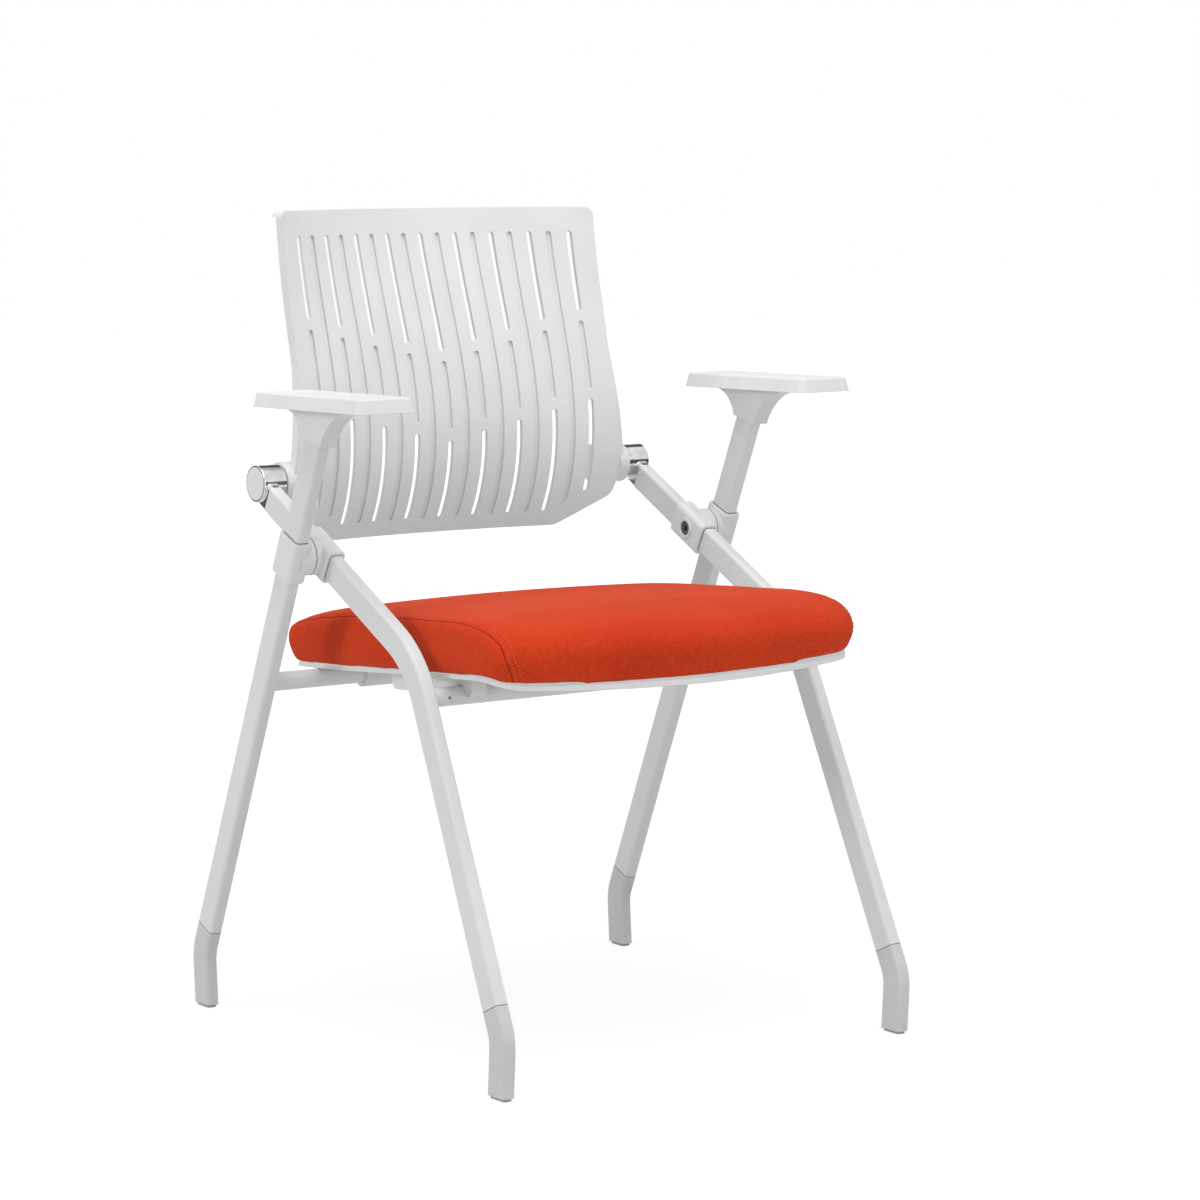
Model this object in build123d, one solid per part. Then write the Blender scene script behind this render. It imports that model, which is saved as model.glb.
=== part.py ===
from build123d import *
from math import cos, radians, sin
import os

# Training chair in millimetres. The chair faces -Y, +Z is up, the floor is Z = 0.
# Left pieces are on the sitter's left, at +X, and right pieces are their mirror images.

# Clearances
fit = 0.1
run = 0.3
thread = 0.05

# Flat tube of the side frames
tube_width = 15.0
tube_depth = 30.0
tube_corner = 4.0
tube_wall = 1.5
cross_radius = 10.0
cross_wall = 1.5
vent_x = 218.0
vent_radius = 1.5
front_cross_z = 381.0
rear_cross_z = 371.0

# Side frames: the front and rear tubes cross at the pivot
front_x = 242.0
rear_x = 278.0
pivot_y = 76.5
pivot_z = 509.6
upper_rise = 27.2
pivot_to_bend = 201.0
bend_radius = 122.0
pivot_to_hub = 135.0
foot_x = 251.0
foot_spread = 271.5
foot_bend_z = 60.0

# Feet and glides
foot_top = 32.0
foot_radius = 48.0
foot_kick = 4.0
foot_plug = 26.0
glide_height = 3.0
glide_inset = 2.0
glide_edge = 1.0
glide_peg_radius = 2.5
glide_peg = 9.0

# Pivot sleeves and bolt
sleeve_wall = 4.0
sleeve_corner = 7.0
sleeve_edge = 2.0
front_sleeve_length = 52.0
rear_sleeve_length = 46.0
boss_radius = 20.5
washer_radius = 17.0
washer_height = 1.2
bolt_radius = 4.0
bolt_head_radius = 8.0
bolt_head_height = 3.6
bolt_socket = 6.0
bolt_socket_depth = 2.6
bolt_collar_radius = 11.0
bolt_collar_height = 1.5
nut_width = 13.0
nut_height = 6.5

# Back hubs
hub_radius = 20.0
hub_inner_x = 224.0
hub_outer_x = 252.0
hub_offset = 5.0
hub_neck = 25.0
hub_spigot = 28.0
hub_bore = 14.0
hub_edge = 1.0
cap_radius = 17.5
cap_height = 3.0
cap_proud = 0.6
cap_skirt = 4.0
spindle_radius = 7.0
spindle_grip = 24.0
bush_length = 16.0

# Back shell: height over the hub axis, setback behind it and wrap of the sides at each station
back_stations = [
    (-74.1, 46.0, 22.0),
    (-16.1, 13.5, 19.0),
    (43.9, 5.0, 18.5),
    (123.9, 19.3, 21.5),
    (203.9, 47.3, 29.0),
    (292.9, 75.0, 41.0),
]
wrap_half_width = 176.8
back_top = 287.9
back_top_half = 203.0
back_waist = 125.9
back_waist_half = 204.5
back_boss_half = 216.0
back_shoulder = -35.1
back_shoulder_half = 208.0
back_bottom = -69.7
back_bottom_half = 152.0
back_top_corner = 9.0
back_low_corner = 14.0
back_skin = 4.5
back_rim_width = 4.0
back_rim_depth = 12.0
back_lip_height = 6.0
back_lip_depth = 20.0
back_boss_radius = 22.0
back_boss_root = 30.0

# Slots and grooves of the back shell, in columns either side of the middle one
slot_pitch = 22.1
slot_steps = 8
slot_width = 6.4
groove_width = 5.6
groove_depth = 3.0
slot_top = 260.9
slot_vee = 5.0
slot_web = 11.0
upper_slot_end = 131.9
middle_groove_end = 44.9
slot_bottom = -52.1
outer_slot_bottom = -30.1
outer_groove_bottom = -42.1

# Arms
arm_z = 667.5
arm_y = -7.7
arm_tilt = 0.8
pad_length = 215.0
pad_width = 70.0
pad_height = 15.5
pad_corner = 10.0
pad_draft = 14.0
pad_edge = 3.0
bracket_wall = 2.3
bracket_rear_wall = 1.6
bracket_front_wall = 4.5
bracket_length = 132.0
bracket_lip = 1.6
bracket_rear_drop = 30.5
bracket_front_drop = 39.7
bracket_rear_flare = 35.0
bracket_front_flare = 66.0
bracket_cover = 9.0
arm_screw_spots = [38.0, 54.0]
arm_screw_seat = 2.2
arm_screw_radius = 2.2
arm_screw_head = 4.4
arm_screw_head_height = 2.8
arm_screw_bite = 8.0

# Seat from above: half widths, ends and corners where the cushion is widest
seat_tilt = 3.4
seat_rear_half = 221.0
seat_mid_half = 225.0
seat_front_half = 230.0
seat_rear_y = 194.0
seat_rear_bow = 6.0
seat_front_y = -242.0
seat_front_bow = 32.0
seat_rear_corner = 14.0
seat_front_corner = 32.0
seat_reach = 260.0
seat_depth = 100.0

# Seat from the side, in Y and Z: foot of the cushion, and its top edge at the sides
seat_foot_line = [
    (215.0, 382.4),
    (112.0, 387.3),
    (-34.0, 398.2),
    (-145.0, 406.0),
    (-205.0, 408.0),
    (-246.0, 401.5),
    (-290.0, 393.5),
]
seat_top_line = [
    (215.0, 409.0),
    (175.0, 427.5),
    (115.0, 441.0),
    (38.0, 449.5),
    (-46.0, 455.0),
    (-136.0, 460.0),
    (-200.0, 461.5),
    (-290.0, 458.0),
]
seat_crown = 7.0
pan_gap = 0.5
pan_inset = 9.0
pan_height = 4.5
board_inset = 26.0
board_height = 10.0

# Rings of the cushion: height over the seat plane, inset of the sides and rear, inset of the front
cushion_rings = [
    (-16.0, 15.0, 17.0),
    (4.0, 8.0, 9.0),
    (30.0, 0.0, 0.0),
    (45.0, 1.5, 7.0),
    (54.0, 3.0, 20.0),
    (63.0, 6.0, 58.0),
    (71.0, 11.0, 130.0),
]

# Seat hinge clips, rest blocks and screws
clip_x = 140.0
clip_width = 36.0
clip_wall = 4.0
clip_length = 74.0
clip_flange = 4.5
clip_head = 4.0
rest_x = 190.0
rest_width = 18.0
rest_rear = 128.0
rest_front = 22.0
rest_drop = 16.5
rest_head = 8.0
rest_rear_clearance = 4.5
rest_nose = 6.0
seat_screw_radius = 2.2
seat_screw_head = 4.5
seat_screw_head_height = 2.6
seat_screw_bite = 7.0
clip_screw_spread = 26.0
rest_screw_rear = 70.0
rest_screw_step = 36.0

# Points and directions of the left side frame
x_axis = Vector(1, 0, 0)
pivot = Vector(front_x, pivot_y, pivot_z)
upper = Vector(0, cos(radians(upper_rise)), sin(radians(upper_rise)))
upper_normal = Vector(0, -upper.Z, upper.Y)
bend = pivot - upper * pivot_to_bend
tube_end = pivot + upper * (pivot_to_hub - hub_neck)
hub_centre = pivot + upper * pivot_to_hub + upper_normal * hub_offset
front_foot_bend = Vector(foot_x, -foot_spread, foot_bend_z)
front_down = (front_foot_bend - bend).normalized()
front_joint = front_foot_bend - front_down * foot_top
front_turn = (upper * -1).cross(front_down)
front_across = x_axis.rotate(Axis((0, 0, 0), front_turn), (upper * -1).get_angle(front_down))
rear_pivot = Vector(rear_x, pivot_y, pivot_z)
rear_foot_bend = Vector(rear_x, foot_spread, foot_bend_z)
rear_down = (rear_foot_bend - rear_pivot).normalized()
rear_joint = rear_foot_bend - rear_down * foot_top
front_cross = bend + front_down * ((front_cross_z - bend.Z) / front_down.Z)
rear_cross = rear_pivot + rear_down * ((rear_cross_z - pivot_z) / rear_down.Z)

# Planes of the arm and the seat
arm_normal = (0, sin(radians(arm_tilt)), cos(radians(arm_tilt)))
arm_plane = Plane((rear_x, arm_y, arm_z), x_dir=(1, 0, 0), z_dir=arm_normal)
post_reach = (arm_z - pivot_z) / -rear_down.Z
post_at_arm = arm_plane.to_local_coords(rear_pivot - rear_down * post_reach)
post_top = rear_pivot - rear_down * (post_reach - bracket_cover)
seat_normal = (0, sin(radians(seat_tilt)), cos(radians(seat_tilt)))
seat_z = rear_cross_z + cross_radius + pan_gap
seat_plane = Plane((0, rear_cross.Y, seat_z), x_dir=(1, 0, 0), z_dir=seat_normal)
rear_cross_local = seat_plane.to_local_coords(Vector(0, rear_cross.Y, rear_cross.Z))
front_cross_local = seat_plane.to_local_coords(Vector(0, front_cross.Y, front_cross.Z))

nodes = {}


def keep(name, *solids):
    nodes[name] = solids[0] if len(solids) == 1 else Compound(list(solids))


def keep_pair(name, left):
    keep(name + "_left", left)
    keep(name + "_right", mirror(left, Plane.YZ))


def keep_group(name, left_solids):
    keep(name, *left_solids, *[mirror(solid, Plane.YZ) for solid in left_solids])


def section(origin, direction, grow=0.0, across=x_axis):
    plane = Plane(origin, x_dir=across, z_dir=direction)
    return plane * RectangleRounded(tube_width + 2 * grow, tube_depth + 2 * grow, tube_corner + grow)


def rod(start_x, end_x, centre, radius):
    plane = Plane((start_x, centre.Y, centre.Z), z_dir=(1, 0, 0))
    return plane * Cylinder(radius, end_x - start_x, align=(Align.CENTER, Align.CENTER, Align.MIN))


def peg(plane, x, y, low, high, radius):
    standing = (Align.CENTER, Align.CENTER, Align.MIN)
    return plane * Pos(x, y, low) * Cylinder(radius, high - low, align=standing)


# Front and rear side tubes
front_path = FilletPolyline(tube_end, bend, front_joint, radius=bend_radius)
front_outside = sweep(section(tube_end, upper * -1), path=front_path)
front_inside = sweep(section(tube_end, upper * -1, -tube_wall), path=front_path)
bolt_hole = rod(front_x - tube_depth, rear_x, pivot, bolt_radius + fit)
keep_pair("front_tube", front_outside - front_inside - bolt_hole)

rear_length = (rear_joint - post_top).length
rear_outside = extrude(section(post_top, rear_down), rear_length)
rear_inside = extrude(section(post_top, rear_down, -tube_wall), rear_length)
keep_pair("rear_tube", rear_outside - rear_inside - bolt_hole)


# Cross tubes end on the inner faces of the side tubes
def cross_tube(centre, leg):
    outside = rod(-centre.X, centre.X, centre, cross_radius)
    inside = rod(-centre.X, centre.X, centre, cross_radius - cross_wall)
    return outside - inside - leg - mirror(leg, Plane.YZ)


vent_plane = Plane(front_cross, x_dir=(1, 0, 0), z_dir=(0, -1, 0))
vents = [peg(vent_plane, x - front_cross.X, 0, 0, cross_radius, vent_radius) for x in (-vent_x, vent_x)]
keep("front_cross_tube", cross_tube(front_cross, front_outside) - vents)
keep("rear_cross_tube", cross_tube(rear_cross, rear_outside))


# Feet curve from the lean of the tube to nearly upright, on glides
def foot_and_glide(joint, corner, direction, across, kick):
    sole_z = glide_height
    below = Vector(corner.X, corner.Y + kick, 0)
    path = FilletPolyline(joint, corner, below - Vector(0, 0, tube_wall), radius=foot_radius)
    body = sweep(section(joint, direction, 0, across), path=path)
    body = split(body, bisect_by=Plane.XY.offset(sole_z), keep=Keep.TOP)
    sole = body.faces().sort_by(Axis.Z)[0]
    centre = sole.center()
    floor = Plane((centre.X, centre.Y, 0))
    body += extrude(section(joint, direction * -1, -tube_wall - fit, across), foot_plug)
    body -= peg(floor, 0, 0, 0, glide_peg + fit, glide_peg_radius + fit)
    glide_width = tube_width - 2 * glide_inset
    glide_depth = tube_depth - 2 * glide_inset
    pad = extrude(floor * RectangleRounded(glide_width, glide_depth, tube_corner), glide_height)
    pad = fillet(pad.edges().group_by(Axis.Z)[0], glide_edge)
    pad += peg(floor, 0, 0, glide_height, glide_peg, glide_peg_radius)
    return body, pad


front_foot, front_glide = foot_and_glide(front_joint, front_foot_bend, front_down, front_across, foot_kick)
rear_foot, rear_glide = foot_and_glide(rear_joint, rear_foot_bend, rear_down, x_axis, -foot_kick)
keep_pair("front_foot", front_foot)
keep_pair("rear_foot", rear_foot)
keep_group("front_glides", [front_glide])
keep_group("rear_glides", [rear_glide])


# Pivot sleeves round the tubes, with round bosses that face each other across a washer
def sleeve(centre, direction, length):
    start = centre - direction * (length / 2)
    plane = Plane(start, x_dir=x_axis, z_dir=direction)
    width = tube_width + 2 * sleeve_wall
    depth = tube_depth + 2 * sleeve_wall
    block = extrude(plane * RectangleRounded(width, depth, sleeve_corner), length)
    along = Axis(start, direction)
    ends = block.faces().sort_by(along)
    block = fillet(ends[0].edges() + ends[-1].edges(), sleeve_edge)
    channel = extrude(section(start, direction, fit), length)
    return block, channel


washer_x = (front_x + rear_x) / 2
washer_gap = washer_height / 2 + fit
front_block, front_channel = sleeve(pivot, upper, front_sleeve_length)
collar_x = front_x - tube_width / 2 - sleeve_wall - bolt_collar_height
head_x = front_x - tube_width / 2 - fit
front_sleeve = front_block + rod(front_x, washer_x - washer_gap, pivot, boss_radius)
front_sleeve += rod(collar_x, front_x, pivot, bolt_collar_radius)
front_sleeve -= front_channel
front_sleeve -= rod(collar_x, head_x, pivot, bolt_head_radius + fit)
front_sleeve -= bolt_hole
keep_pair("front_sleeve", front_sleeve)

rear_block, rear_channel = sleeve(rear_pivot, rear_down, rear_sleeve_length)
rear_sleeve = rear_block + rod(washer_x + washer_gap, rear_x, pivot, boss_radius)
rear_sleeve -= rear_channel
rear_sleeve -= bolt_hole
keep_pair("rear_sleeve", rear_sleeve)

washer = rod(washer_x - washer_height / 2, washer_x + washer_height / 2, pivot, washer_radius)
keep_group("pivot_washers", [washer - bolt_hole])

nut_x = rear_x - tube_width / 2 + tube_wall + run
bolt = rod(head_x - bolt_head_height, head_x, pivot, bolt_head_radius)
bolt += rod(head_x, nut_x + nut_height, pivot, bolt_radius)
socket_plane = Plane((head_x - bolt_head_height, pivot_y, pivot_z), z_dir=(1, 0, 0))
bolt -= extrude(socket_plane * RegularPolygon(bolt_socket / 2, 6, major_radius=False), bolt_socket_depth)
keep_group("pivot_bolts", [bolt])
nut_plane = Plane((nut_x, pivot_y, pivot_z), z_dir=(1, 0, 0))
nut = extrude(nut_plane * RegularPolygon(nut_width / 2, 6, major_radius=False), nut_height)
keep_group("pivot_nuts", [nut - rod(nut_x, nut_x + nut_height, pivot, bolt_radius + thread)])

# Hubs take the tube ends and hold the back spindles in rubber bushes
hub = rod(hub_inner_x, hub_outer_x, hub_centre, hub_radius)
hub = fillet(hub.edges().filter_by(GeomType.CIRCLE), hub_edge)
hub += extrude(section(tube_end, upper), hub_neck)
hub -= rod(hub_inner_x, hub_outer_x, hub_centre, hub_bore)
hub -= rod(hub_outer_x - cap_height, hub_outer_x, hub_centre, cap_radius + fit)
hub += extrude(section(tube_end, upper * -1, -tube_wall - fit), hub_spigot)
keep_pair("back_hub", hub)

cap = rod(hub_outer_x - cap_height, hub_outer_x + cap_proud, hub_centre, cap_radius)
cap = fillet(cap.edges().sort_by(Axis.X)[-1], cap_proud / 2)
cap += rod(hub_outer_x - cap_height - cap_skirt, hub_outer_x, hub_centre, hub_bore - fit)
keep_pair("hub_cap", cap)

spindle_end = hub_inner_x + bush_length + run
spindle_start = hub_inner_x - spindle_grip
bush = rod(hub_inner_x + run, spindle_end, hub_centre, hub_bore - fit)
bush -= rod(hub_inner_x, spindle_end, hub_centre, spindle_radius + fit)
keep_pair("hub_bush", bush)
keep_pair("back_spindle", rod(spindle_start, spindle_end, hub_centre, spindle_radius))


# The back shell is a band lofted through the stations and trimmed to its outline
def back_band(front, rear, half_width=hub_outer_x):
    sections = []
    for height, setback, wrap in back_stations:
        y = hub_centre.Y + setback
        sag = wrap * (half_width / wrap_half_width) ** 2
        plane = Plane((0, y, hub_centre.Z + height))
        near = ThreePointArc((-half_width, front - sag), (0, front), (half_width, front - sag))
        far = ThreePointArc((-half_width, rear - sag), (0, rear), (half_width, rear - sag))
        ends = [Line(near @ 0, far @ 0), Line(near @ 1, far @ 1)]
        sections.append(plane * make_face([near, far, *ends]))
    return loft(sections)


def upright(sketch, depth=2 * hub_outer_x):
    return extrude(Plane((0, 0, hub_centre.Z), x_dir=(1, 0, 0), z_dir=(0, -1, 0)) * sketch, -depth)


right_side = [
    (back_bottom_half, back_bottom),
    (back_shoulder_half, back_shoulder),
    (back_boss_half, 0),
    (back_waist_half, back_waist),
    (back_top_half, back_top),
]
left_side = [(-x, z) for x, z in reversed(right_side)]
outline = make_face(Polyline(*right_side, *left_side, close=True))
corners = outline.vertices().group_by(Axis.Y)
outline = fillet(corners[-1], back_top_corner)
corners = outline.vertices().group_by(Axis.Y)
outline = fillet(corners[0] + corners[1], back_low_corner)
inner_outline = offset(outline, -back_rim_width)

slots = []
grooves = []


def column(step, bottom, top, width):
    return Pos(step * slot_pitch, (bottom + top) / 2) * SlotOverall(top - bottom, width, rotation=90)


for step in range(-slot_steps, slot_steps + 1):
    vee = slot_vee * abs(step)
    outermost = abs(step) == slot_steps
    if (step - slot_steps) % 2 == 0:
        slots.append(column(step, upper_slot_end + vee, slot_top, slot_width))
        groove_top = upper_slot_end + vee - slot_web
        grooves.append(column(step, middle_groove_end + vee, groove_top, groove_width))
        low = outer_slot_bottom if outermost else slot_bottom
        slots.append(column(step, low, middle_groove_end + vee - slot_web, slot_width))
    else:
        low = outer_groove_bottom if abs(step) == slot_steps - 1 else slot_bottom
        grooves.append(column(step, low, slot_top, groove_width))

shell = back_band(0, back_skin) & upright(outline)
shell -= [upright(slot) for slot in slots]
front_layer = back_band(-groove_depth, groove_depth)
shell -= [front_layer & upright(groove) for groove in grooves]
shell += back_band(0, back_rim_depth) & (upright(outline) - upright(inner_outline))
top_strip = Pos(0, back_top - back_lip_height / 2) * Rectangle(2 * hub_outer_x, back_lip_height)
shell += back_band(0, back_lip_depth) & upright(outline & top_strip)
boss_end = hub_inner_x - run
boss = rod(back_boss_half - back_rim_width, boss_end, hub_centre, back_boss_radius)
root = rod(back_boss_half - back_boss_root, back_boss_half, hub_centre, back_boss_radius)
boss += root - back_band(-hub_inner_x, 0)
spindle_hole = rod(spindle_start - run, hub_inner_x, hub_centre, spindle_radius + fit)
shell += [boss, mirror(boss, Plane.YZ)]
shell -= [spindle_hole, mirror(spindle_hole, Plane.YZ)]
keep("back_shell", shell)

# Arm brackets flare from a socket round the post to thin lips under the pad
top_y = post_at_arm.Y
half = bracket_length / 2
post_lean = rear_down.Y / -rear_down.Z
socket_rear = (tube_depth / 2 + bracket_rear_wall) / -rear_down.Z
socket_front = (tube_depth / 2 + bracket_front_wall) / -rear_down.Z
rear_tip = (top_y + half, -bracket_lip)
front_tip = (top_y - half, -bracket_lip)
rear_waist = (top_y + bracket_rear_drop * post_lean + socket_rear, -bracket_rear_drop)
front_waist = (top_y + bracket_front_drop * post_lean - socket_front, -bracket_front_drop)
profile = [
    Line((top_y - half, 0), (top_y + half, 0)),
    Line((top_y + half, 0), rear_tip),
    RadiusArc(rear_tip, rear_waist, -bracket_rear_flare),
    Line(rear_waist, front_waist),
    RadiusArc(front_waist, front_tip, -bracket_front_flare),
    Line(front_tip, (top_y - half, 0)),
]
bracket_width = tube_width + 2 * bracket_wall
arm_side = Plane(arm_plane.origin, x_dir=arm_plane.y_dir, z_dir=arm_plane.x_dir)
bracket = extrude(arm_side * make_face(profile), bracket_width / 2, both=True)
bracket -= extrude(section(post_top, rear_down, fit), rear_length)
for spot in arm_screw_spots:
    bracket -= peg(arm_plane, 0, top_y + spot, -bracket_rear_drop, -arm_screw_seat, arm_screw_head + fit)
    bracket -= peg(arm_plane, 0, top_y + spot, -arm_screw_seat, 0, arm_screw_radius + fit)
keep_pair("arm_bracket", bracket)

pad = extrude(arm_plane * RectangleRounded(pad_width, pad_length, pad_corner), pad_height, taper=pad_draft)
pad_top = Axis(arm_plane.origin, arm_plane.z_dir)
pad = fillet(pad.faces().sort_by(pad_top)[-1].edges(), pad_edge)
arm_screws = []
for spot in arm_screw_spots:
    y = top_y + spot
    head_low = -arm_screw_seat - arm_screw_head_height
    pad -= peg(arm_plane, 0, y, 0, arm_screw_bite + fit, arm_screw_radius + thread)
    screw = peg(arm_plane, 0, y, head_low, -arm_screw_seat, arm_screw_head)
    arm_screws.append(screw + peg(arm_plane, 0, y, -arm_screw_seat, arm_screw_bite, arm_screw_radius))
keep_pair("arm_pad", pad)
keep_group("arm_screws", arm_screws)

# Seat outline on the seat plane, nearly straight behind and bowed in front
def seat_section(height, inset, front_inset):
    front = seat_front_y - rear_cross.Y + front_inset
    rear = seat_rear_y - rear_cross.Y - inset
    middle = (front + rear) / 2
    front_half = seat_front_half - inset
    mid_half = seat_mid_half - inset
    rear_half = seat_rear_half - inset
    face = make_face(
        [
            ThreePointArc((-front_half, front), (0, front - seat_front_bow), (front_half, front)),
            ThreePointArc((front_half, front), (mid_half, middle), (rear_half, rear)),
            ThreePointArc((rear_half, rear), (0, rear + seat_rear_bow), (-rear_half, rear)),
            ThreePointArc((-rear_half, rear), (-mid_half, middle), (-front_half, front)),
        ]
    )
    face = fillet(face.vertices().sort_by(Axis.Y)[:2], seat_front_corner)
    face = fillet(face.vertices().sort_by(Axis.Y)[-2:], seat_rear_corner)
    return seat_plane * Pos(0, 0, height) * face


def seat_prism(inset):
    return extrude(seat_section(-seat_depth, inset, inset), 2 * seat_depth)


# Layer between two heights over the foot line, right across the seat
def seat_layer(low, high):
    bottom = Spline(*[(y, z + low) for y, z in seat_foot_line])
    top = Spline(*[(y, z + high) for y, z in seat_foot_line])
    face = make_face([bottom, top, Line(bottom @ 0, top @ 0), Line(bottom @ 1, top @ 1)])
    return extrude(Plane.YZ * face, seat_reach, both=True)


# Pan, board and cushion follow the foot line, and the cushion is crowned across the seat
pan = seat_prism(pan_inset) & seat_layer(-pan_height, 0)
board = seat_prism(board_inset) & seat_layer(0, board_height)

crown_sections = []
for y, z in seat_top_line:
    plane = Plane((0, y, z), x_dir=(1, 0, 0), z_dir=(0, -1, 0))
    crown = ThreePointArc((-seat_reach, 0), (0, seat_crown), (seat_reach, 0))
    low_left = (-seat_reach, -seat_depth)
    low_right = (seat_reach, -seat_depth)
    sides = [Line(crown @ 1, low_right), Line(low_right, low_left), Line(low_left, crown @ 0)]
    crown_sections.append(plane * make_face([crown, *sides]))
cushion = loft([seat_section(*ring) for ring in cushion_rings]) & loft(crown_sections)
cushion -= seat_layer(-seat_depth, 0)
cushion -= seat_prism(board_inset - fit) & seat_layer(-pan_height, board_height + fit)

# Hinge clips hold the pan to the rear cross tube
clip_side = Plane(seat_plane.origin, x_dir=seat_plane.y_dir, z_dir=seat_plane.x_dir)
clip_y = rear_cross_local.Y
clip_z = rear_cross_local.Z
flange_mid = (clip_head - clip_flange) / 2
clip_face = Pos(clip_y, flange_mid) * Rectangle(clip_length, clip_head + clip_flange)
clip_face += Pos(clip_y, clip_z) * Circle(cross_radius + run + clip_wall)
clip_face -= Pos(clip_y, clip_z) * Circle(cross_radius + run)
clip_face -= Pos(clip_y, (clip_z + clip_head) / 2) * Rectangle(2 * (cross_radius + run), clip_head - clip_z)
over_pan = seat_layer(-pan_height, seat_depth)
clip = Pos(clip_x - clip_width / 2, 0, 0) * extrude(clip_side * clip_face, clip_width) - over_pan

# Rest blocks sit over the front cross tube and lift off it when the seat tips up
rest_y = front_cross_local.Y
rest_mid = rest_y + (rest_rear - rest_front) / 2
rest_face = Rectangle(rest_rear + rest_front, rest_head + rest_drop)
rest_face = Pos(rest_mid, (rest_head - rest_drop) / 2) * rest_face
low_corners = rest_face.vertices().group_by(Axis.Y)[0]
rest_face = fillet(low_corners, rest_nose)
rest_face -= Pos(rest_y, front_cross_local.Z) * Circle(cross_radius + run)
escape = cross_radius + rest_rear_clearance
escape_face = Rectangle(escape, 2 * rest_drop)
rest_face -= Pos(rest_y + escape / 2, front_cross_local.Z - rest_drop / 2) * escape_face
rest = Pos(rest_x - rest_width / 2, 0, 0) * extrude(clip_side * rest_face, rest_width) - over_pan


# Screws go up through a clip or a block and the pan into the board
seat_screws = []
clip_spots = [rear_cross_local.Y - clip_screw_spread, rear_cross_local.Y + clip_screw_spread]
rest_spots = [rest_y + rest_screw_rear, rest_y + rest_screw_rear + rest_screw_step]
for x, spots, under in ((clip_x, clip_spots, clip_flange), (rest_x, rest_spots, clip_flange)):
    for y in spots:
        head = -under
        tip = pan_height + seat_screw_bite
        hole = peg(seat_plane, x, y, head, tip + fit, seat_screw_radius + fit)
        access = peg(seat_plane, x, y, head - rest_drop, head, seat_screw_head + fit)
        clip -= [hole, access]
        rest -= [hole, access]
        pan -= [hole, mirror(hole, Plane.YZ)]
        board -= [hole, mirror(hole, Plane.YZ)]
        screw = peg(seat_plane, x, y, head - seat_screw_head_height, head, seat_screw_head)
        seat_screws.append(screw + peg(seat_plane, x, y, head, tip, seat_screw_radius))

keep("seat_pan", pan)
keep("seat_board", board)
keep("seat_cushion", cushion)
keep_pair("seat_clip", clip)
keep_pair("seat_rest", rest)
keep_group("seat_screws", seat_screws)

os.makedirs("parts", exist_ok=True)
for name, solid in nodes.items():
    export_step(solid, f"parts/{name}.step")
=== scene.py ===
import math

import bmesh
import bpy
from mathutils import Euler, Matrix, Vector
from mathutils.bvhtree import BVHTree
from mathutils.geometry import interpolate_bezier
from mathutils.kdtree import KDTree


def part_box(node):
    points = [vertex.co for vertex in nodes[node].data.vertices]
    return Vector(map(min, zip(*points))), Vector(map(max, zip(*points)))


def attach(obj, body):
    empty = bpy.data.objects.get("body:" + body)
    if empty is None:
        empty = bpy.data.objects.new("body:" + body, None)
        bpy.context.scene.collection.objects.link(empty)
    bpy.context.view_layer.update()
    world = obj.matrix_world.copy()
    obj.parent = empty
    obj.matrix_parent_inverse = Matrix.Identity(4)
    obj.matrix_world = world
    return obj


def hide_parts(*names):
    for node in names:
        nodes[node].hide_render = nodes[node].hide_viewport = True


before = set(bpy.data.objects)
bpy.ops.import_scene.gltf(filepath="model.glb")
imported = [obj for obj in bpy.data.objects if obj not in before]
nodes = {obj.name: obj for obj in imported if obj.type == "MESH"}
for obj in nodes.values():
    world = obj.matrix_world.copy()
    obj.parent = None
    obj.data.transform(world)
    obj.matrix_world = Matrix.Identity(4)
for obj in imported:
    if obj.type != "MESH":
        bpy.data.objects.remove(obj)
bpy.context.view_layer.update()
scene = bpy.context.scene
print("frame loaded,", len(nodes), "nodes")


# A socket that takes Python maths: each operator adds a Math node
class Sock:
    def __init__(self, tree, out):
        self.tree = tree
        self.out = out

    def maths(self, operation, first, second=0.0):
        return self.tree.add("ShaderNodeMath", {"operation": operation}, {0: first, 1: second})

    def __add__(self, other):
        return self.maths("ADD", self, other)

    __radd__ = __add__

    def __mul__(self, other):
        return self.maths("MULTIPLY", self, other)

    __rmul__ = __mul__

    def __sub__(self, other):
        return self.maths("SUBTRACT", self, other)

    def __rsub__(self, other):
        return self.maths("SUBTRACT", other, self)

    def __abs__(self):
        return self.maths("ABSOLUTE", self)

    def sine(self):
        return self.maths("SINE", self)

    def orElse(self, other):
        return self.maths("MAXIMUM", self, other)


class NodeTree:
    def __init__(self, tree):
        self.tree = tree

    # One node of any type: settings first, then the values or links of its sockets
    def add(self, kind, settings=None, sockets=None, out=0):
        node = self.tree.nodes.new(kind)
        for key, value in (settings or {}).items():
            setattr(node, key, value)
        for key, value in (sockets or {}).items():
            self.feed(node.inputs[key], value)
        return Sock(self, node.outputs[out])

    def feed(self, socket, value):
        if isinstance(value, Sock):
            self.tree.links.new(value.out, socket)
        else:
            socket.default_value = value

    # 1 where the camera, a reflection or glass shows the surface, 0 where it only lights others
    def seen(self):
        path = self.add("ShaderNodeLightPath", out="Is Camera Ray")
        rays = path.out.node.outputs
        for ray in ("Is Glossy Ray", "Is Transmission Ray"):
            path = path.orElse(Sock(self, rays[ray]))
        return path


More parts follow.
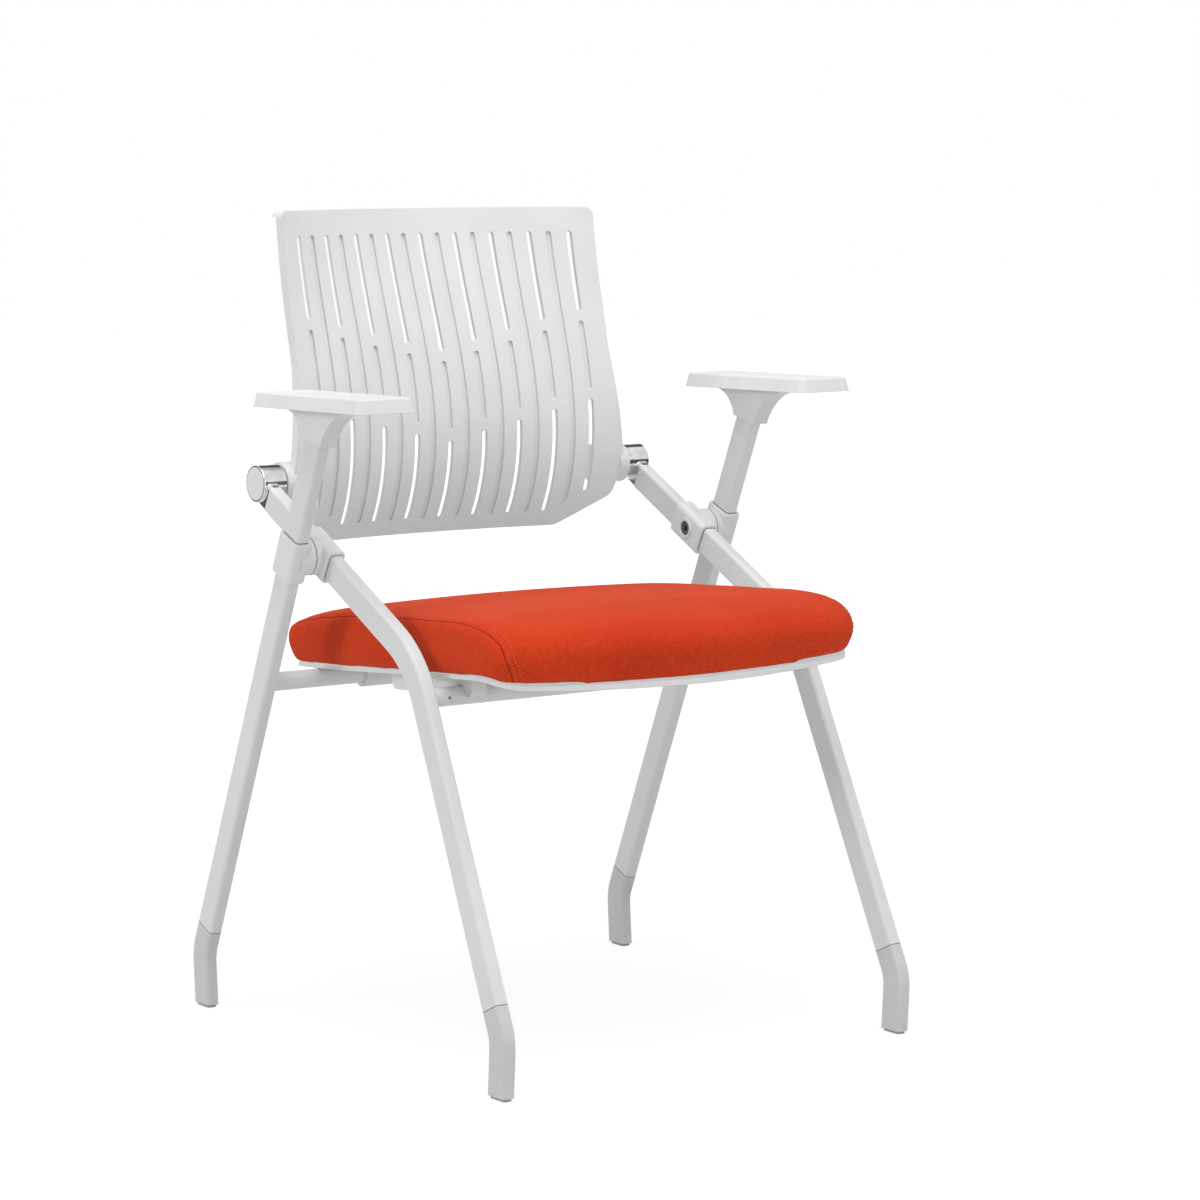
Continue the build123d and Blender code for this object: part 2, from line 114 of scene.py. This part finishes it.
class Finish(NodeTree):
    def __init__(self, name):
        self.material = bpy.data.materials.new(name)
        self.material.use_nodes = True
        super().__init__(self.material.node_tree)
        self.shader = self.tree.nodes["Principled BSDF"]
        self.place = self.add("ShaderNodeTexCoord", out="Object")

    def set(self, **sockets):
        for key, value in sockets.items():
            self.feed(self.shader.inputs[key.replace("_", " ")], value)
        return self.material

    def noise(self, scale, detail=2.0, rough=0.5, vector=None):
        sockets = {"Vector": vector or self.place, "Scale": scale, "Detail": detail, "Roughness": rough}
        return self.add("ShaderNodeTexNoise", None, sockets)

    def stretch(self, scale, vector=None):
        return self.add("ShaderNodeMapping", None, {"Vector": vector or self.place, "Scale": scale})

    # Distance along a direction, the same on both sides of the chair
    def along(self, direction):
        x = self.add("ShaderNodeSeparateXYZ", None, {0: self.place})
        y, z = [Sock(self, x.out.node.outputs[axis]) for axis in "YZ"]
        return abs(x) * direction[0] + y * direction[1] + z * direction[2]

    # 0 below the low value, 1 above the high one
    def ramp(self, value, low, high):
        return self.add(
            "ShaderNodeMapRange",
            {"interpolation_type": "SMOOTHSTEP"},
            {"Value": value, "From Min": low, "From Max": high},
        )

    def blend(self, factor, first, second):
        sockets = {0: factor, 6: self.colour(first), 7: self.colour(second)}
        return self.add("ShaderNodeMix", {"data_type": "RGBA"}, sockets, out=2)

    def colour(self, value):
        return value if isinstance(value, Sock) else (*value, 1)

    def rounded(self, radius):
        return self.add("ShaderNodeBevel", {"samples": 8}, {"Radius": radius})

    def bump(self, height, depth, normal=None):
        sockets = {"Height": height, "Strength": 1.0, "Distance": depth}
        if normal:
            sockets["Normal"] = normal
        return self.add("ShaderNodeBump", None, sockets)


# Finishes: pale and shade are the ends of the colour's slight variation, cloud is its scale,
# and swing is how far the roughness follows it
powderCoat = dict(
    pale=(0.775, 0.78, 0.773),
    shade=(0.735, 0.74, 0.734),
    cloud=9.0,
    rough=0.36,
    swing=0.12,
    peel=420.0,
    depth=0.00006,
    # colour and width of the painted shadow lines in the gaps at the sleeves and feet
    gap=(0.16, 0.16, 0.16),
    gapShadowWidth=0.0008,
)
# Painted shadow lines in the thin gaps where a tube goes into its sleeve and its foot:
# the tube's direction, then the places along it in metres
frontGapShadows = [((0, 0.8894, 0.4571), (0.2746, 0.3274)), ((0.0227, -0.4275, -0.9037), (0.0352,))]
rearGapShadows = [((0, 0.3979, -0.9174), (-0.4605, -0.4137, 0.0206))]


def paintedTube(name, look, gapShadows=()):
    f = Finish(name)
    peel = f.noise(look["peel"], detail=1.5)
    cloud = f.noise(look["cloud"], detail=3.0)
    coat = f.blend(f.ramp(cloud, 0.3, 0.7), look["shade"], look["pale"])
    # Painted shade: a thin dark line at each place where the tube goes into its sleeve or its foot
    for direction, places in gapShadows:
        reach = f.along(direction)
        for place in places:
            clear = f.ramp(abs(reach - place), look["gapShadowWidth"] * 0.4, look["gapShadowWidth"])
            coat = f.blend(clear, look["gap"], coat)
    return f.set(
        Base_Color=coat,
        Roughness=look["rough"] + (cloud - 0.5) * look["swing"],
        Normal=f.bump(peel, look["depth"]),
    )


mouldedWhite = dict(
    pale=(0.80, 0.803, 0.796),
    shade=(0.765, 0.768, 0.762),
    rough=0.46,
    grain=2400.0,
    depth=0.00005,
)
footGrey = dict(
    pale=(0.66, 0.665, 0.655),
    shade=(0.61, 0.615, 0.606),
    rough=0.5,
    grain=1900.0,
    depth=0.00007,
)
glideGrey = dict(
    pale=(0.42, 0.42, 0.42),
    shade=(0.36, 0.36, 0.36),
    rough=0.6,
    grain=1500.0,
    depth=0.00006,
)
moulding = dict(cloud=11.0, swing=0.14, grainSwing=0.08, edge=0.0009)  # the same on all three plastics


def mouldedPlastic(name, look):
    f = Finish(name)
    grain = f.noise(look["grain"])
    cloud = f.noise(moulding["cloud"], detail=4.0)
    uneven = (cloud - 0.5) * moulding["swing"] + (grain - 0.5) * moulding["grainSwing"]
    return f.set(
        Base_Color=f.blend(f.ramp(cloud, 0.3, 0.72), look["shade"], look["pale"]),
        Roughness=look["rough"] + uneven,
        Normal=f.bump(grain, look["depth"], f.rounded(moulding["edge"])),
    )


hubChrome = dict(pale=(0.80, 0.805, 0.81), shade=(0.62, 0.625, 0.63), rough=0.13, metallic=1.0)
boltSteel = dict(pale=(0.16, 0.16, 0.165), shade=(0.09, 0.09, 0.095), rough=0.36, metallic=0.8)
polish = dict(smudge=70.0, swing=0.10, brush=900.0, along=(0.15, 1.0, 1.0), scratch=0.00001, edge=0.0006)


def polishedMetal(name, look):
    f = Finish(name)
    smudge = f.noise(polish["smudge"], detail=4.0)
    brush = f.noise(polish["brush"], rough=0.6, vector=f.stretch(polish["along"]))
    return f.set(
        Base_Color=f.blend(f.ramp(smudge, 0.35, 0.75), look["shade"], look["pale"]),
        Metallic=look["metallic"],
        Roughness=look["rough"] + (smudge - 0.45) * polish["swing"],
        Normal=f.bump(brush, polish["scratch"], f.rounded(polish["edge"])),
    )


bushRubber = dict(pale=(0.03, 0.03, 0.03), shade=(0.015, 0.015, 0.015), rough=0.75)
seatThread = dict(pale=(0.75, 0.095, 0.034), shade=(0.58, 0.058, 0.018), rough=0.7)
skin = dict(grain=1500.0, depth=0.00005)


def softSkin(name, look):
    f = Finish(name)
    grain = f.noise(skin["grain"], detail=3.0)
    return f.set(
        Base_Color=f.blend(grain, look["shade"], look["pale"]),
        Roughness=look["rough"],
        Normal=f.bump(grain, skin["depth"]),
    )


boardPly = dict(
    pale=(0.72, 0.65, 0.54),
    shade=(0.61, 0.54, 0.43),
    rough=0.7,
    swing=0.15,
    grain=26.0,
    grainAlong=(1.0, 0.06, 1.0),
    fibre=400.0,
    fibreAlong=(1.0, 0.04, 1.0),
    depth=0.00008,
)


def plyFace(name, look):
    f = Finish(name)
    grain = f.noise(look["grain"], detail=5.0, rough=0.65, vector=f.stretch(look["grainAlong"]))
    fibre = f.noise(look["fibre"], detail=3.0, rough=0.6, vector=f.stretch(look["fibreAlong"]))
    return f.set(
        Base_Color=f.blend(f.ramp(grain, 0.35, 0.68), look["shade"], look["pale"]),
        Roughness=look["rough"] + (fibre - 0.5) * look["swing"],
        Normal=f.bump(fibre, look["depth"]),
    )


seatCloth = dict(
    lit=(0.79, 0.070, 0.017),
    deep=(0.58, 0.035, 0.008),
    # colour of the painted shade in the seam's crease
    seamShadow=(0.30, 0.018, 0.006),
    thread=0.0011,  # width of one yarn
    slub=420.0,
    slubAlong=(1.0, 0.35, 1.0),
    pick=400.0,
    pickAlong=(0.35, 1.0, 1.0),
    cloud=7.0,
    depth=0.00020,
    rough=0.9,
    swing=0.1,
    seamWidth=0.0009,
    seamDepth=0.0003,
    sheen=0.2,
    sheenRough=0.28,
    sheenTint=(1.0, 0.55, 0.35, 1),
    gloss=0.12,
)


# Plain weave on the cushion's own cloth map, in metres, with painted shade along its seams from the seam
# attribute
def wovenCloth(name, look):
    f = Finish(name)
    cloth = f.add("ShaderNodeUVMap", {"uv_map": "cloth"})
    across = f.add("ShaderNodeSeparateXYZ", None, {0: cloth})
    along = Sock(f, across.out.node.outputs["Y"])
    turns = math.pi / look["thread"]
    over = abs((across * turns).sine() * (along * turns).sine())
    slub = f.noise(look["slub"], detail=3.0, rough=0.6, vector=f.stretch(look["slubAlong"], cloth))
    pick = f.noise(look["pick"], detail=3.0, rough=0.6, vector=f.stretch(look["pickAlong"], cloth))
    cloud = f.noise(look["cloud"], detail=3.0, vector=cloth)
    # Mostly slubs and picks, some slow cloud and a little of the weave
    tone = f.ramp(slub * 0.35 + pick * 0.35 + cloud * 0.3 + over * 0.16, 0.35, 0.81)
    weave = f.blend(tone, look["deep"], look["lit"])
    fromSeam = abs(f.add("ShaderNodeAttribute", {"attribute_name": "seam"}, out="Fac"))
    flat = f.ramp(fromSeam, look["seamWidth"] * 0.3, look["seamWidth"])
    seamDip = flat * (look["seamDepth"] / look["depth"])
    return f.set(
        # Painted shade: the colour darkens towards the seam line, where the crease is
        Base_Color=f.blend(flat, look["seamShadow"], weave),
        Roughness=look["rough"] + (slub - 0.5) * look["swing"],
        Normal=f.bump(over + slub * 0.5 + pick * 0.5 + seamDip, look["depth"]),
        Sheen_Weight=look["sheen"],
        Sheen_Roughness=look["sheenRough"],
        Sheen_Tint=look["sheenTint"],
        Specular_IOR_Level=look["gloss"],
    )


powder = paintedTube("powderCoatWhite", powderCoat)
powderFront = paintedTube("powderCoatFront", powderCoat, frontGapShadows)
powderRear = paintedTube("powderCoatRear", powderCoat, rearGapShadows)
white = mouldedPlastic("mouldedWhite", mouldedWhite)
grey = mouldedPlastic("footGrey", footGrey)
glide = mouldedPlastic("glideGrey", glideGrey)
chrome = polishedMetal("hubChrome", hubChrome)
steel = polishedMetal("boltSteel", boltSteel)
rubber = softSkin("bushRubber", bushRubber)
ply = plyFace("boardPly", boardPly)
cloth = wovenCloth("seatCloth", seatCloth)
yarn = softSkin("seatThread", seatThread)

nodeFinish = [
    (powder, ["front_cross_tube", "rear_cross_tube"]),
    (powderFront, ["front_tube"]),
    (powderRear, ["rear_tube"]),
    (white, ["front_sleeve", "rear_sleeve", "hub_cap", "arm_bracket", "arm_pad", "back_shell"]),
    (white, ["seat_pan", "seat_clip", "seat_rest"]),
    (grey, ["front_foot", "rear_foot", "pivot_washers"]),
    (glide, ["front_glides", "rear_glides"]),
    (chrome, ["back_hub"]),
    (steel, ["pivot_bolts", "pivot_nuts", "arm_screws", "seat_screws", "back_spindle"]),
    (rubber, ["hub_bush"]),
    (ply, ["seat_board"]),
    (cloth, ["seat_cushion"]),
]
for finish, names in nodeFinish:
    for name, node in nodes.items():
        if name.removesuffix("_left").removesuffix("_right") in names:
            node.data.materials.clear()
            node.data.materials.append(finish)
print("finishes on the nodes")

# Seat cushion: the solid's form, swollen by its filling where nothing holds it
cushion = dict(
    voxel=0.0055,
    shrink=0.002,
    pressure=4.0,
    quality=4,
    steps=20,
    cap=0.002,  # the most that a point moves
    held=0.6,  # a point is held where it faces down by more than this
    smooth=3,
    turnover=0.15,  # the cloth's map turns down to front and rear over this length
)


def shown(name, mesh, finish):
    piece = bpy.data.objects.new(name, mesh)
    scene.collection.objects.link(piece)
    mesh.materials.clear()
    mesh.materials.append(finish)
    return piece


def applied(piece):
    graph = bpy.context.evaluated_depsgraph_get()
    mesh = bpy.data.meshes.new_from_object(piece.evaluated_get(graph))
    piece.modifiers.clear()
    piece.data = mesh
    return piece


def remeshed(name, source, finish, voxel):
    mesh = source.data.copy()
    bm = bmesh.new()
    bm.from_mesh(mesh)
    bmesh.ops.remove_doubles(bm, verts=bm.verts, dist=0.00001)
    bm.to_mesh(mesh)
    bm.free()
    piece = shown(name, mesh, finish)
    shape = piece.modifiers.new("remesh", "REMESH")
    shape.mode = "VOXEL"
    shape.voxel_size = voxel
    return applied(piece)


# Held vertices lie under the cushion or against the board
def heldVerts(piece, look):
    low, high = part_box("seat_board")
    margin = Vector((look["voxel"],) * 3)
    held = []
    for vert in piece.data.vertices:
        boxed = all(a < c < b for a, c, b in zip(low - margin, vert.co, high + margin))
        if boxed or vert.normal.z < -look["held"]:
            held.append(vert.index)
    return held


def swell(piece, look):
    start = [vert.co.copy() for vert in piece.data.vertices]
    normals = [vert.normal.copy() for vert in piece.data.vertices]
    held = heldVerts(piece, look)
    for vert, normal in zip(piece.data.vertices, normals):
        vert.co -= normal * look["shrink"]
    for index in held:
        piece.data.vertices[index].co = start[index]
    piece.vertex_groups.new(name="held").add(held, 1.0, "REPLACE")
    sim = piece.modifiers.new("filling", "CLOTH")
    sim.settings.use_pressure = True
    sim.settings.uniform_pressure_force = look["pressure"]
    sim.settings.effector_weights.gravity = 0
    sim.settings.vertex_group_mass = "held"
    sim.settings.quality = look["quality"]
    sim.point_cache.frame_start = 1
    sim.point_cache.frame_end = look["steps"]
    for step in range(1, look["steps"] + 1):
        scene.frame_set(step)
    applied(piece)
    scene.frame_set(1)
    for vert, origin in zip(piece.data.vertices, start):
        move = vert.co - origin
        if move.length > look["cap"]:
            vert.co = origin + move.normalized() * look["cap"]
    rises = [(vert.co - origin).length for vert, origin in zip(piece.data.vertices, start)]
    print("cushion swollen, most", round(max(rises) * 1000, 1), "mm,", len(held), "vertices held")


seatPad = remeshed("seatPad", nodes["seat_cushion"], cloth, cushion["voxel"])
swell(seatPad, cushion)
bm = bmesh.new()
bm.from_mesh(seatPad.data)
for turn in range(cushion["smooth"]):
    bmesh.ops.smooth_vert(
        bm, verts=bm.verts, factor=0.5, use_axis_x=True, use_axis_y=True, use_axis_z=True
    )
bm.to_mesh(seatPad.data)
bm.free()
finer = seatPad.modifiers.new("finer", "SUBSURF")
finer.levels = 1
finer.render_levels = 1
applied(seatPad)
for face in seatPad.data.polygons:
    face.use_smooth = True

# Seam of the cushion: from the middle of the rear edge, along a side and down the front corner
seam = dict(
    line=[
        (0.0, 0.197, 0.427),
        (0.1, 0.195, 0.4258),
        (0.19, 0.191, 0.4222),
        (0.2125, 0.185, 0.4232),
        (0.2185, 0.172, 0.4285),
        (0.2195, 0.115, 0.441),
        (0.2195, 0.038, 0.4495),
        (0.2195, -0.046, 0.455),
        (0.2195, -0.136, 0.4595),
        (0.2205, -0.189, 0.4555),
        (0.2215, -0.211, 0.4508),
        (0.2205, -0.2205, 0.4462),
        (0.2185, -0.2275, 0.4393),
        (0.2170, -0.2310, 0.4302),
        (0.2150, -0.2335, 0.4203),
        (0.2125, -0.2340, 0.4090),
        (0.2105, -0.2320, 0.3990),
    ],
    steps=24,
    pinch=0.0006,
    spread=0.0028,
    reach=0.02,
)
stitches = dict(rows=(0.004, 0.0098), pitch=0.0046, length=0.0034, radius=0.0006, cornerY=-0.2)


# An even curve through the points: its handles are a sixth of the way between their neighbours
def smoothLine(points, steps):
    line = []
    for i in range(len(points) - 1):
        before = points[max(i - 1, 0)]
        after = points[min(i + 2, len(points) - 1)]
        first = points[i] + (points[i + 1] - before) / 6
        second = points[i + 1] - (after - points[i]) / 6
        line += interpolate_bezier(points[i], first, second, points[i + 1], steps)[:-1]
    return line


# Points of the seam on the cushion, each with its normal and the direction over to the top panel
def seamPoints(surface, side):
    rough = smoothLine([Vector((side * x, y, z)) for x, y, z in seam["line"]], seam["steps"])
    found = [surface.find_nearest(point)[:2] for point in rough]
    made = []
    for before, (spot, normal), after in zip(found, found[1:], found[2:]):
        along = (after[0] - before[0]).normalized()
        made.append((spot, normal, normal.cross(along).normalized() * -side))
    return made


def surfaceOf(piece):
    bm = bmesh.new()
    bm.from_mesh(piece.data)
    tree = BVHTree.FromBMesh(bm)
    bm.free()
    return tree


padSurface = surfaceOf(seatPad)
seams = {side: seamPoints(padSurface, side) for side in (-1, 1)}
allSeam = seams[-1] + seams[1]
finder = KDTree(len(allSeam))
for i, entry in enumerate(allSeam):
    finder.insert(entry[0], i)
finder.balance()

fromSeam = seatPad.data.attributes.new("seam", "FLOAT", "POINT")
for vert, normal in zip(seatPad.data.vertices, [v.normal.copy() for v in seatPad.data.vertices]):
    spot, i, gap = finder.find(vert.co)
    offset = (vert.co - spot).dot(allSeam[i][2])
    if gap > seam["reach"]:
        offset = math.copysign(seam["reach"], offset)
    fromSeam.data[vert.index].value = offset
    vert.co -= normal * (seam["pinch"] * math.exp(-((offset / seam["spread"]) ** 2)))


# The cover's cloth lies flat on each panel: over the top, front and rear, and along each side
def clothMap(piece, turnover, sideFacing=0.75):
    mesh = piece.data
    layer = mesh.uv_layers.new(name="cloth")
    top = max(vert.co.z for vert in mesh.vertices)
    for face in mesh.polygons:
        sideways = abs(face.normal.x) > sideFacing
        for loop in face.loop_indices:
            co = mesh.vertices[mesh.loops[loop].vertex_index].co
            fall = (top - co.z) * max(-1, min(1, -co.y / turnover))
            layer.data[loop].uv = (co.y, co.z) if sideways else (co.x, co.y - fall)


clothMap(seatPad, cushion["turnover"])
# The seat throws no colour on the white pieces round it
for piece in (seatPad, nodes["seat_board"]):
    piece.visible_diffuse = False
    piece.visible_glossy = False
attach(seatPad, "seat")
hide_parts("seat_cushion")
print("cushion done,", len(seatPad.data.polygons), "faces")


# Two rows of stitches beside the seam, down each front corner
def sewn(name, surface):
    bm = bmesh.new()
    for line in seams.values():
        corner = [entry for entry in line if entry[0].y < stitches["cornerY"]]
        for row in stitches["rows"]:
            walked = 0.0
            for before, after in zip(corner, corner[1:]):
                walked += (after[0] - before[0]).length
                if walked < stitches["pitch"]:
                    continue
                walked = 0.0
                spot, normal, _, _ = surface.find_nearest(after[0] + after[2] * row)
                along = (after[0] - before[0]).normalized()
                across = normal.cross(along).normalized()
                turn = Matrix((along, across, normal)).transposed().to_4x4()
                thick = stitches["radius"]
                size = Matrix.Diagonal((stitches["length"] / 2, thick, thick, 1))
                place = Matrix.Translation(spot) @ turn @ size
                bmesh.ops.create_uvsphere(bm, u_segments=6, v_segments=4, radius=1.0, matrix=place)
    bmesh.ops.recalc_face_normals(bm, faces=bm.faces)
    for face in bm.faces:
        face.smooth = True
    mesh = bpy.data.meshes.new(name)
    bm.to_mesh(mesh)
    bm.free()
    return shown(name, mesh, yarn)


seatStitches = sewn("seatStitches", surfaceOf(seatPad))
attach(seatStitches, "seat")
print("stitches done")

# Camera at the photograph's viewing angle
photo = dict(
    place=(-2.348, -3.3955, 0.945),
    yaw=-35.3376,
    pitch=-6.8053,
    roll=0.0856,
    lens=117.16,
    sensor=36.0,
)
cameraData = bpy.data.cameras.new("photoCamera")
cameraData.lens = photo["lens"]
cameraData.sensor_width = photo["sensor"]
cameraData.sensor_fit = "HORIZONTAL"
camera = bpy.data.objects.new("photoCamera", cameraData)
camera.location = photo["place"]
turn = Euler((math.radians(90 + photo["pitch"]), 0, math.radians(photo["yaw"])), "XYZ")
tip = Euler((0, 0, math.radians(-photo["roll"])))
camera.rotation_euler = (turn.to_matrix() @ tip.to_matrix()).to_euler()
scene.collection.objects.link(camera)
scene.camera = camera

# White room: plain light to the chair, white to the camera, with the chair's shadow on the floor
room = dict(
    light=0.52,
    floorShade=0.66,
    floorRough=0.9,
    floorSize=12.0,
    floorGlow=1.21,
    shadowHold=0.7,
    shadowReach=(0.5, 1.3),
)
world = bpy.data.worlds.new("studio")
world.use_nodes = True
scene.world = world
sky = NodeTree(world.node_tree)
level = sky.add("ShaderNodeMix", None, {0: sky.seen(), 2: room["light"], 3: 1.0})
backdrop = world.node_tree.nodes["Background"]
backdrop.inputs["Color"].default_value = (1, 1, 1, 1)
sky.feed(backdrop.inputs["Strength"], level)

bm = bmesh.new()
bmesh.ops.create_grid(bm, x_segments=1, y_segments=1, size=room["floorSize"])
floorMesh = bpy.data.meshes.new("floor")
bm.to_mesh(floorMesh)
bm.free()
paint = Finish("floorPaint")
paint.set(Base_Color=(room["floorShade"],) * 3 + (1,), Roughness=room["floorRough"])
away = paint.add("ShaderNodeVectorMath", {"operation": "LENGTH"}, {0: paint.place}, out="Value")
hold = paint.ramp(away, *room["shadowReach"]) * (1 - room["shadowHold"]) + room["shadowHold"]
glow = paint.add("ShaderNodeEmission", None, {"Strength": room["floorGlow"]})
matt = Sock(paint, paint.shader.outputs[0])
mixed = paint.add("ShaderNodeMixShader", None, {0: paint.seen() * hold, 1: matt, 2: glow})
paint.feed(paint.tree.nodes["Material Output"].inputs["Surface"], mixed)
floor = shown("floor", floorMesh, paint.material)

# Soft light from above, from the viewer's left and a little behind, and from the front
lamps = [
    dict(name="topLamp", place=(-0.3, -0.7, 3.4), size=2.4, power=57.0),
    dict(name="leftLamp", place=(-2.8, 0.95, 1.3), size=0.6, power=17.5),
    dict(name="frontLamp", place=(0.5, -3.6, 1.5), size=2.2, power=20.0),
]
lampAim = Vector((0, 0, 0.5))
for lamp in lamps:
    data = bpy.data.lights.new(lamp["name"], "AREA")
    data.size = lamp["size"]
    data.energy = lamp["power"]
    holder = bpy.data.objects.new(lamp["name"], data)
    holder.location = lamp["place"]
    holder.rotation_euler = (lampAim - Vector(lamp["place"])).to_track_quat("-Z", "Y").to_euler()
    scene.collection.objects.link(holder)

# Dark cards out of view, for the chrome to reflect
cardShade = 0.1
cardPaint = Finish("cardPaint")
cardPaint.set(Base_Color=(cardShade,) * 3 + (1,), Roughness=1.0)
cards = [
    dict(name="lowCard", place=(1.9, -2.7, 0.55), size=0.75),
    dict(name="highCard", place=(1.7, 1.8, 2.6), size=0.8),
    dict(name="sideCard", place=(-2.0, 2.6, 0.4), size=0.55),
]
for card in cards:
    bm = bmesh.new()
    face = (lampAim - Vector(card["place"])).to_track_quat("Z", "Y").to_matrix().to_4x4()
    spread = Matrix.Translation(card["place"]) @ face
    bmesh.ops.create_grid(bm, x_segments=1, y_segments=1, size=card["size"], matrix=spread)
    cardMesh = bpy.data.meshes.new(card["name"])
    bm.to_mesh(cardMesh)
    bm.free()
    board = shown(card["name"], cardMesh, cardPaint.material)
    board.visible_camera = False
    board.visible_shadow = False
scene.view_settings.view_transform = "Standard"
print("room and lamps set")
